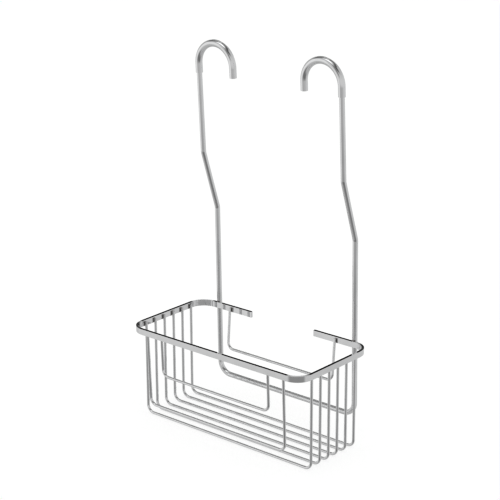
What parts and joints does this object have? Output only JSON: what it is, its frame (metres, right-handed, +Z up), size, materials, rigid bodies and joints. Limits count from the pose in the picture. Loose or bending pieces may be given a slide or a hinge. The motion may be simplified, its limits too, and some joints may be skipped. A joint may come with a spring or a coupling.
{
  "type": "shower caddy",
  "caption": "Open wire basket with a flat strip rim, hung from a bent rod frame whose inward-turned hooks go over the wall unions of a shower mixer.",
  "frame": {"origin": "middle of the bounding box, on the plane that the floor wires stand on", "axes": "+Z up along the legs to the hooks, +X to the right seen from the front, +Y back towards the wall"},
  "size_m": [0.25, 0.132, 0.434],
  "materials": {
    "frame_chrome": "bright chrome plate on a bent steel rod",
    "strip_chrome": "bright chrome plate on flat steel strip",
    "wire_chrome": "bright chrome plate on thin steel wire",
    "sleeve": "smooth bright tube drawn over each hook"
  },
  "bodies": {
    "root": {"frame_rod": "frame_chrome", "hook_sleeve_left": "sleeve", "hook_sleeve_right": "sleeve", "basket_rim": "strip_chrome", "floor_wire_1": "wire_chrome", "floor_wire_2": "wire_chrome", "floor_wire_3": "wire_chrome", "floor_wire_4": "wire_chrome", "floor_wire_5": "wire_chrome", "floor_wire_6": "wire_chrome", "front_guard_outer": "wire_chrome", "front_guard_inner": "wire_chrome", "back_guard": "wire_chrome"}
  },
  "joints": []
}
